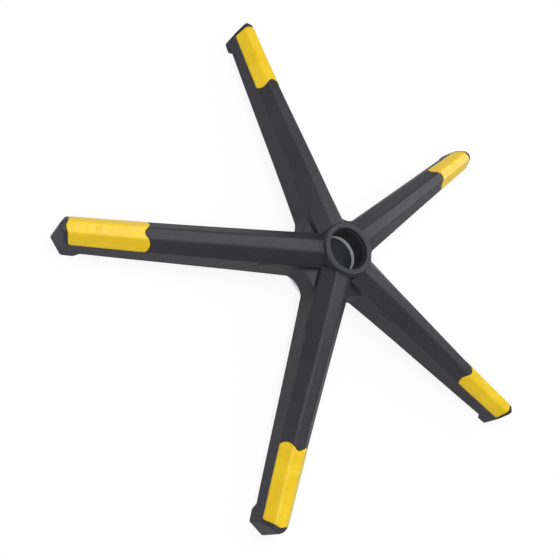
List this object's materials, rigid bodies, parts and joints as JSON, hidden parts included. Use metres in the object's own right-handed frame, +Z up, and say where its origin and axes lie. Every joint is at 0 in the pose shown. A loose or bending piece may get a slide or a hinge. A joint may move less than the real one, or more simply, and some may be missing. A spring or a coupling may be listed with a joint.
{
  "type": "office chair base",
  "caption": "Five-arm moulded chair base with pads let into the arm ends, a steel taper bush for the gas lift and sockets for casters.",
  "frame": {"origin": "on the hub axis at the gauge plane, where the gas lift's taper seats: the top of the bush's straight land", "axes": "+Z up along the hub axis, +X along the centreline of arm 1; the other arms follow every 72 degrees"},
  "size_m": [0.6351, 0.6652, 0.0737],
  "materials": {
    "black_nylon": "fine-grained black nylon with a soft satin sheen",
    "yellow_pad": "fine-grained yellow plastic",
    "bush_steel": "turned steel, bore left bare"
  },
  "bodies": {
    "root": {"star_base": "black_nylon", "hub_bush": "bush_steel", "foot_pad_1": "yellow_pad", "foot_pad_2": "yellow_pad", "foot_pad_3": "yellow_pad", "foot_pad_4": "yellow_pad", "foot_pad_5": "yellow_pad"}
  },
  "joints": []
}
